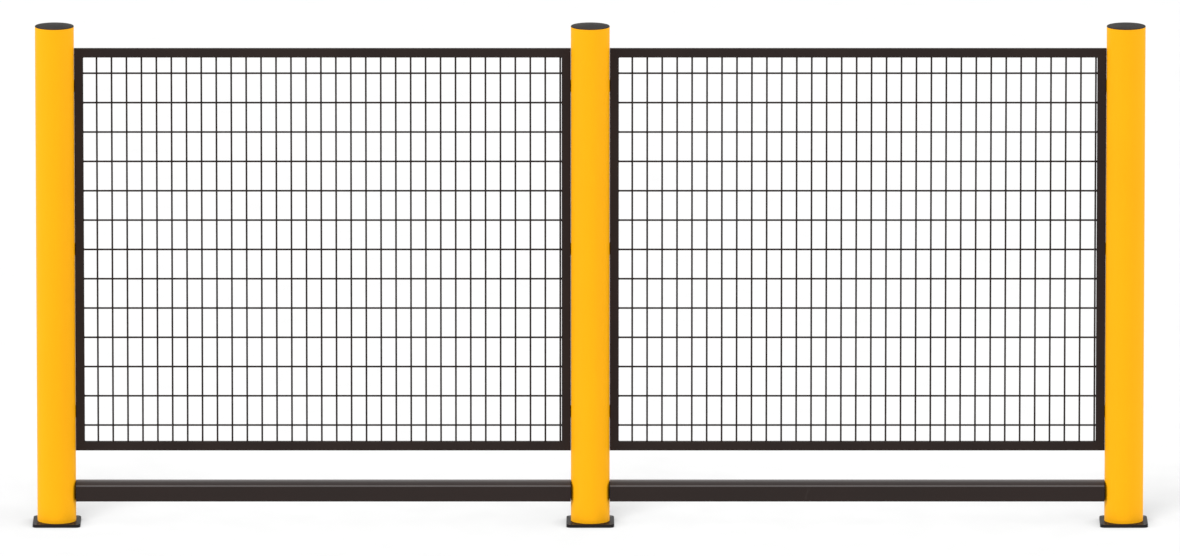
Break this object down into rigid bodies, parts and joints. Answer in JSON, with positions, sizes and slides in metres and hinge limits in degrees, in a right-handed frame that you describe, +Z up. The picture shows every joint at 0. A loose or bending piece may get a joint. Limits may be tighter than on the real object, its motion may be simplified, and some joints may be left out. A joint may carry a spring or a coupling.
{
  "type": "guard fence",
  "caption": "Low-level guard fence in bays: round polymer posts on bolted base plates carry framed welded-mesh panels, with a hollow kick rail near the floor",
  "frame": {"origin": "on the floor, at the centre of the underside of the middle post's base plate", "axes": "+X runs along the fence to the right, as seen from its front; +Y runs through the fence, away from its front; +Z points up"},
  "size_m": [3.742, 0.16, 1.7],
  "materials": {
    "post_polymer": "through-coloured signal yellow polymer, satin",
    "cap_polymer": "black moulded polymer, fine grain",
    "base_plate_coat": "black powder coat, glossy, over steel",
    "spigot_zinc": "zinc-plated steel",
    "panel_frame_coat": "brown-black powder coat, satin",
    "mesh_coat": "brown-black powder coat, satin, over welded wire",
    "clip_coat": "black powder coat, satin",
    "kick_rail_polymer": "brown-black extruded polymer, satin",
    "plug_polymer": "black moulded polymer"
  },
  "bodies": {
    "root": {"post_left": "post_polymer", "post_middle": "post_polymer", "post_right": "post_polymer", "cap_left": "cap_polymer", "cap_middle": "cap_polymer", "cap_right": "cap_polymer", "base_plate_left": "base_plate_coat", "base_plate_middle": "base_plate_coat", "base_plate_right": "base_plate_coat", "spigot_left": "spigot_zinc", "spigot_middle": "spigot_zinc", "spigot_right": "spigot_zinc", "left_panel_top_rail": "panel_frame_coat", "left_panel_bottom_rail": "panel_frame_coat", "left_panel_left_stile": "panel_frame_coat", "left_panel_right_stile": "panel_frame_coat", "left_panel_mesh": "mesh_coat", "left_panel_clips_left": "clip_coat", "left_panel_clips_right": "clip_coat", "right_panel_top_rail": "panel_frame_coat", "right_panel_bottom_rail": "panel_frame_coat", "right_panel_left_stile": "panel_frame_coat", "right_panel_right_stile": "panel_frame_coat", "right_panel_mesh": "mesh_coat", "right_panel_clips_left": "clip_coat", "right_panel_clips_right": "clip_coat", "kick_rail_left": "kick_rail_polymer", "kick_plug_left_outer": "plug_polymer", "kick_plug_left_inner": "plug_polymer", "kick_rail_right": "kick_rail_polymer", "kick_plug_right_outer": "plug_polymer", "kick_plug_right_inner": "plug_polymer"}
  },
  "joints": []
}
